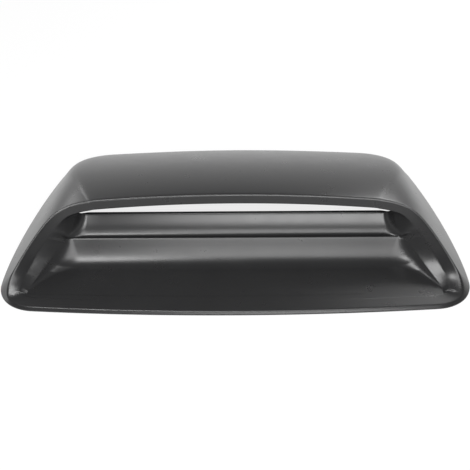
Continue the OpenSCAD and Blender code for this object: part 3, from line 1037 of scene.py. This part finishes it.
def rib_tree():
    """The rib, repeated across the roof and lowered with the roof's crown."""
    inputs = {
        "Copies": "NodeSocketInt",
        "Spacing": "NodeSocketFloat",
        "Crown": "NodeSocketFloat",
        "Crown width": "NodeSocketFloat",
    }
    tree, given, output = new_tree("roof_ribs", inputs)
    copies, crown_width = given.outputs["Copies"], given.outputs["Crown width"]
    number = node(tree, "GeometryNodeInputIndex", (-900, -400))
    last = worked_out(tree, (-700, -300), "SUBTRACT", copies, 1)
    middle = worked_out(tree, (-550, -300), "MULTIPLY", last, 0.5)
    step = worked_out(tree, (-400, -300), "SUBTRACT", number.outputs[0], middle)
    across = worked_out(tree, (-250, -300), "MULTIPLY", step, given.outputs["Spacing"])
    share = worked_out(tree, (-100, -400), "DIVIDE", across, crown_width)
    square = worked_out(tree, (50, -400), "POWER", share, 2)
    drop = worked_out(tree, (200, -400), "MULTIPLY", square, given.outputs["Crown"])
    down = worked_out(tree, (350, -400), "MULTIPLY", drop, -1)
    place = node(tree, "ShaderNodeCombineXYZ", (350, -250))
    line = node(tree, "GeometryNodePoints", (0, 150))
    spread = node(tree, "GeometryNodeInstanceOnPoints", (250, 0))
    links = tree.links
    links.new(across, place.inputs["X"])
    links.new(down, place.inputs["Z"])
    links.new(copies, line.inputs["Count"])
    links.new(place.outputs["Vector"], line.inputs["Position"])
    links.new(line.outputs[0], spread.inputs["Points"])
    links.new(given.outputs["Mesh"], spread.inputs["Instance"])
    finish_tree(tree, spread.outputs["Instances"], output)
    return tree


def grown_object(name, points, faces, tree, **values):
    """An object whose mesh a node tree makes from the given one, as a plain mesh at the end."""
    points = np.array(points)
    points[:, 1] -= bpy.context.scene.scoop_footprint.body_d / 2
    mesh = bpy.data.meshes.new(name)
    mesh.from_pydata([tuple(p) for p in points], [], faces)
    piece = bpy.data.objects.new(name, mesh)
    bpy.context.scene.collection.objects.link(piece)
    maker = piece.modifiers.new("maker", "NODES")
    maker.node_group = tree
    for socket in tree.interface.items_tree:
        if socket.in_out == "INPUT" and socket.name in values:
            maker[socket.identifier] = values[socket.name]
    seen = piece.evaluated_get(bpy.context.evaluated_depsgraph_get())
    made = bpy.data.meshes.new_from_object(seen)
    piece.modifiers.remove(maker)
    piece.data = made
    made.name = name
    made.shade_smooth()
    made.set_sharp_from_angle(angle=PLATE_SHARP)
    return piece


def scoop_form(scene):
    """The form of the skin, from the scene's sizes."""
    return ScoopForm(scene.scoop_footprint, scene.scoop_skin, scene.scoop_mouth)


def stand_for_moulding(piece):
    """Hangs a piece under the root body and hides the imported moulding in its stead."""
    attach(piece, "root")
    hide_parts("scoop_moulding")


class SCOOP_OT_shell(bpy.types.Operator):
    """Builds the shell with its rim band and stepped tray"""

    bl_idname = "scoop.shell"
    bl_label = "Scoop shell"

    def execute(self, context):
        points, faces = scoop_form(context.scene).build()
        piece = make_object("scoop_shell", points, faces, finish_material())
        stand_for_moulding(piece)
        return {"FINISHED"}


class SCOOP_OT_bosses(bpy.types.Operator):
    """Builds the screw bosses and the webs that tie them to the side walls"""

    bl_idname = "scoop.bosses"
    bl_label = "Screw bosses and webs"

    def execute(self, context):
        sizes = context.scene.scoop_underside
        under = UndersideForm(scoop_form(context.scene), sizes)
        places = [(side * p[0], p[1], 0) for p in under.bosses for side in (-1, 1)]
        values = {
            "Radius": sizes.boss_r,
            "Height": sizes.boss_h,
            "Hole radius": MOUNTS["front_screws"]["dims"]["hole_r_mm"] * MM,
            "Hole depth": sizes.pilot_h,
            "Sides": under.boss_sides,
        }
        stand_for_moulding(grown_object("screw_bosses", places, [], boss_tree(), **values))
        front, rear = under.bosses
        points, faces = under.web(front, np.array([1.0, 0.0]))
        rear_points, rear_faces = under.web(rear, unit(np.array([1, under.rear_web_turn])))
        faces += [tuple(k + len(points) for k in face) for face in rear_faces]
        points = np.concatenate([points, rear_points])
        stand_for_moulding(grown_object("boss_webs", points, faces, mirror_tree()))
        return {"FINISHED"}


class SCOOP_OT_ribs(bpy.types.Operator):
    """Builds the ribs under the roof"""

    bl_idname = "scoop.ribs"
    bl_label = "Roof ribs"

    def execute(self, context):
        scene = context.scene
        sizes = scene.scoop_underside
        form = scoop_form(scene)
        under = UndersideForm(form, sizes)
        points, faces = under.rib()
        values = {
            "Copies": under.rib_copies,
            "Spacing": sizes.rib_pitch,
            "Crown": scene.scoop_skin.roof_crown,
            "Crown width": form.shoulder_x,
        }
        stand_for_moulding(grown_object("roof_ribs", points, faces, rib_tree(), **values))
        return {"FINISHED"}


class SCOOP_OT_stage(bpy.types.Operator):
    """Sets the floor, the lamps, the world and the camera"""

    bl_idname = "scoop.stage"
    bl_label = "Stage"

    def execute(self, context):
        settings = context.scene.scoop_stage
        make_floor(settings)
        make_world(context.scene, settings)
        make_lamps(settings)
        make_camera(context.scene, settings)
        context.scene.view_settings.view_transform = "Standard"
        return {"FINISHED"}


def make_floor(settings):
    """A wide white floor, which is seen and mirrored as nearly white."""
    half = settings.floor_w / 2
    corners = [(-half, -half, 0), (half, -half, 0), (half, half, 0), (-half, half, 0)]
    mesh = bpy.data.meshes.new("floor")
    mesh.from_pydata(corners, [], [(0, 1, 2, 3)])
    floor = bpy.data.objects.new("floor", mesh)
    bpy.context.scene.collection.objects.link(floor)
    material = bpy.data.materials.new("white_floor")
    material.use_nodes = True
    tree = material.node_tree
    tree.nodes.remove(tree.nodes["Principled BSDF"])
    output = tree.nodes["Material Output"]
    matt = node(tree, "ShaderNodeBsdfDiffuse", (-400, 100), Color=(0.86, 0.86, 0.86, 1))
    glow = node(tree, "ShaderNodeEmission", (-400, -100), Color=(1, 1, 1, 1), Strength=1.0)
    path = node(tree, "ShaderNodeLightPath", (-700, 300))
    rays = path.outputs["Is Camera Ray"], path.outputs["Is Glossy Ray"]
    seen = worked_out(tree, (-550, 300), "MAXIMUM", *rays)
    share = worked_out(tree, (-400, 300), "MULTIPLY", seen, settings.floor_glow)
    blend = node(tree, "ShaderNodeMixShader", (-150, 100))
    tree.links.new(share, blend.inputs["Fac"])
    tree.links.new(matt.outputs[0], blend.inputs[1])
    tree.links.new(glow.outputs[0], blend.inputs[2])
    tree.links.new(blend.outputs[0], output.inputs["Surface"])
    mesh.materials.append(material)


def make_world(scene, settings):
    """A studio that is bright low down behind the object and dim elsewhere, with a white background."""
    world = bpy.data.worlds.new("studio")
    scene.world = world
    world.use_nodes = True
    tree = world.node_tree
    background = tree.nodes["Background"]
    place = node(tree, "ShaderNodeTexCoord", (-900, 0))
    parts = node(tree, "ShaderNodeSeparateXYZ", (-700, 0))
    # A direction's Z and Y say how high it points and how far behind the object
    low_z, high_z = 0.15, 0.62
    front_y, rear_y = -0.15, 0.7
    low = map_range(tree, (-500, 150), (low_z, high_z), (1, 0), "SMOOTHSTEP")
    behind = map_range(tree, (-500, -150), (front_y, rear_y), (settings.front_share, 1), "SMOOTHSTEP")
    glow = worked_out(tree, (-300, 0), "MULTIPLY", low.outputs["Result"], behind.outputs["Result"])
    studio = map_range(tree, (-120, 0), (0, 1), (settings.dim_level, settings.horizon_level))
    path = node(tree, "ShaderNodeLightPath", (-120, 250))
    rays = studio.outputs["Result"], path.outputs["Is Camera Ray"]
    seen = worked_out(tree, (60, 100), "MAXIMUM", *rays)
    links = tree.links
    links.new(place.outputs["Generated"], parts.inputs[0])
    links.new(parts.outputs["Z"], low.inputs["Value"])
    links.new(parts.outputs["Y"], behind.inputs["Value"])
    links.new(glow, studio.inputs["Value"])
    links.new(seen, background.inputs["Color"])
    background.inputs["Strength"].default_value = 1.0


def towards(azimuth, elevation):
    """Direction at an azimuth from the front, positive to the right, and an elevation."""
    flat = math.cos(elevation)
    return Vector((math.sin(azimuth) * flat, -math.cos(azimuth) * flat, math.sin(elevation)))


def add_lamp(name, radiance, azimuth, elevation, distance, width, height, target):
    """A rectangular soft lamp of an even brightness, turned to its target and unseen by the camera."""
    data = bpy.data.lights.new(name, "AREA")
    data.shape = "RECTANGLE"
    data.size = width
    data.size_y = height
    data.energy = radiance * math.pi * width * height
    lamp = bpy.data.objects.new(name, data)
    lamp.location = distance * towards(math.radians(azimuth), math.radians(elevation))
    lamp.rotation_mode = "QUATERNION"
    lamp.rotation_quaternion = (Vector(target) - lamp.location).to_track_quat("-Z", "Y")
    lamp.visible_camera = False
    bpy.context.scene.collection.objects.link(lamp)


def make_lamps(settings):
    """Two soft lamps in front, two at the left for rim band and edges, and two behind at the sides."""
    centre = (0, 0, 0)
    rear_right = (0.6, 0.7, 0)
    # Degrees from the front to the right, degrees up, distance, width, height and target
    places = {
        "front_lamp": (7, 22, 2.3, 1.1, 0.7, centre),
        "upper_lamp": (7, 59, 2.3, 1.2, 0.95, centre),
        "left_lamp": (-98, 9, 1.9, 1.1, 0.5, centre),
        "band_lamp": (-50, 67, 2.0, 0.6, 0.5, centre),
        "rear_left_lamp": (-140, 24, 2.0, 0.9, 0.6, centre),
        "rear_right_lamp": (140, 34, 1.6, 0.9, 0.5, rear_right),
    }
    for name, place in places.items():
        add_lamp(name, getattr(settings, name), *place)


def make_camera(scene, settings):
    """The camera above and in front, at the photograph's angle."""
    data = bpy.data.cameras.new("camera")
    data.sensor_width = 36
    data.lens = data.sensor_width * settings.focal_px / settings.frame_px
    data.shift_x = (settings.frame_px / 2 - settings.aim_px[0]) / settings.frame_px
    data.shift_y = (settings.aim_px[1] - settings.frame_px / 2) / settings.frame_px
    data.clip_start = 0.05
    camera = bpy.data.objects.new("camera", data)
    scene.collection.objects.link(camera)
    camera.location = settings.distance * towards(settings.azimuth, settings.elevation)
    look = Euler((math.pi / 2 - settings.elevation, 0, settings.azimuth)).to_matrix()
    roll = Euler((0, 0, settings.roll)).to_matrix()
    camera.rotation_euler = (look @ roll).to_euler()
    scene.camera = camera


class SCOOP_PT_panel(bpy.types.Panel):
    """Lists the scoop's builders and sizes"""

    bl_idname = "SCOOP_PT_panel"
    bl_label = "Bonnet scoop"
    bl_space_type = "VIEW_3D"
    bl_region_type = "UI"
    bl_category = "Scoop"

    def draw(self, context):
        """Draws a box for each group of sizes, and a button for each builder."""
        layout = self.layout
        for group in GROUPS:
            box = layout.box()
            settings = getattr(context.scene, group)
            for name in settings.__annotations__:
                box.prop(settings, name)
        for operator in OPERATORS:
            layout.operator(operator.bl_idname)


GROUPS = {
    "scoop_footprint": FootprintSizes,
    "scoop_skin": SkinSizes,
    "scoop_mouth": MouthSizes,
    "scoop_underside": UndersideSizes,
    "scoop_finish": FinishSettings,
    "scoop_stage": StageSettings,
}
OPERATORS = (SCOOP_OT_shell, SCOOP_OT_bosses, SCOOP_OT_ribs, SCOOP_OT_stage)


def register():
    """Registers the groups of sizes, the builders and the panel."""
    for name, group in GROUPS.items():
        bpy.utils.register_class(group)
        setattr(bpy.types.Scene, name, bpy.props.PointerProperty(type=group))
    for item in (*OPERATORS, SCOOP_PT_panel):
        bpy.utils.register_class(item)


def unregister():
    """Takes the panel, the builders and the groups of sizes out again."""
    for item in (SCOOP_PT_panel, *reversed(OPERATORS)):
        bpy.utils.unregister_class(item)
    for name, group in reversed(GROUPS.items()):
        delattr(bpy.types.Scene, name)
        bpy.utils.unregister_class(group)


def main():
    """Registers the groups of sizes and the builders, and builds the stage and every piece."""
    register()
    bpy.ops.scoop.stage()
    bpy.ops.scoop.shell()
    bpy.ops.scoop.bosses()
    bpy.ops.scoop.ribs()


if __name__ == "__main__":
    main()
